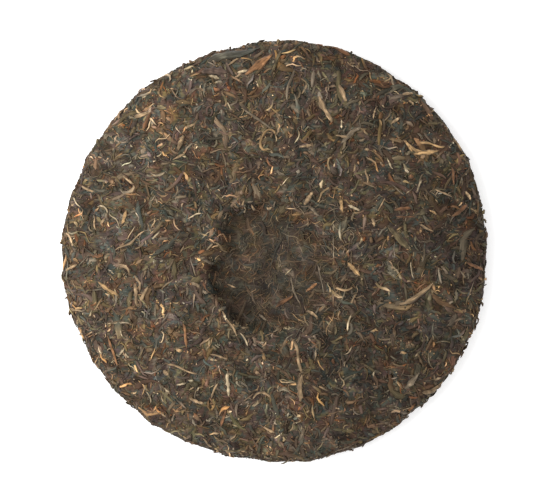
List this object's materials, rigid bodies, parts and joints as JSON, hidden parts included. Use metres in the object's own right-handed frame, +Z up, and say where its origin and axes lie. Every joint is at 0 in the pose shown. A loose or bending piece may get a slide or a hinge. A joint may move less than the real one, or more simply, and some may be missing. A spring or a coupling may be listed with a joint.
{
  "type": "pu erh tea cake",
  "caption": "Round cake of pressed twisted tea leaves with a domed face, a rounded rim and an off-centre dimple in its back face.",
  "frame": {"origin": "on the table, under the middle of the cake", "axes": "+Z up, through the back face with the dimple; +X to the right and +Y away as the picture shows the cake"},
  "size_m": [0.2011, 0.199, 0.0236],
  "materials": {
    "pressed_leaf": "matt dried tea leaf, dark brown to grey-green",
    "dark_leaf": "dried twisted leaf, dark grey-green brown, faint sheen",
    "brown_leaf": "dried leaf, olive to reddish brown, matt",
    "golden_bud": "downy tan to golden bud, matt",
    "leaf_stem": "dry pale stem, satin"
  },
  "bodies": {
    "root": {"tea_cake": "pressed_leaf"}
  },
  "joints": []
}
